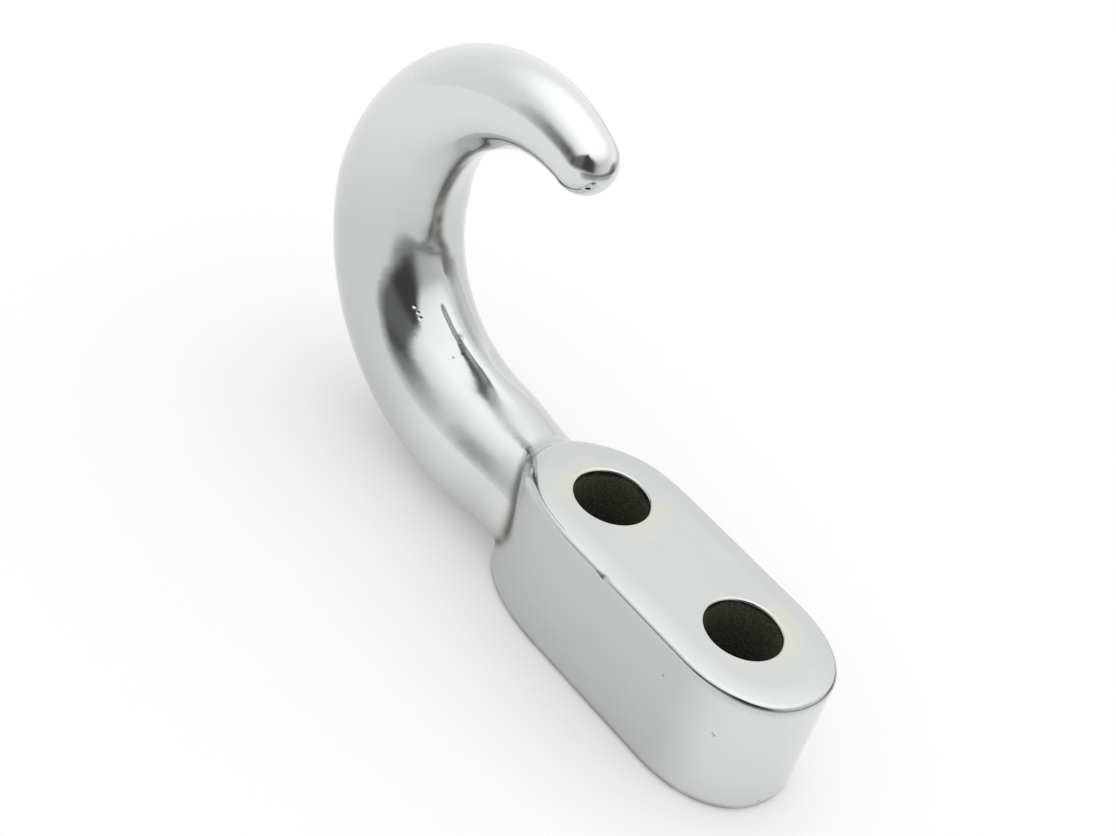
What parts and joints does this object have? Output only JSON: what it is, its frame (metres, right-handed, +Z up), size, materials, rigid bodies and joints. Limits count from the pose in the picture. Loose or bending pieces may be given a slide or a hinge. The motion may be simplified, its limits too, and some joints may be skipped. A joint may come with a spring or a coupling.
{
  "type": "tow hook",
  "caption": "Forged steel tow hook: a thick pad with two bolt holes runs out into a round, open hook that tapers to a blunt point.",
  "frame": {"origin": "midway between the two bolt holes, on the mounting face", "axes": "+Z up along the bolts, +X along the pad towards the hook, +Y across the pad; the XZ plane is the plane of symmetry"},
  "size_m": [0.1391, 0.0306, 0.0873],
  "materials": {
    "chrome_plate": "polished, lightly waved as a plated forging is"
  },
  "bodies": {
    "root": {"tow_hook": "chrome_plate"}
  },
  "joints": []
}
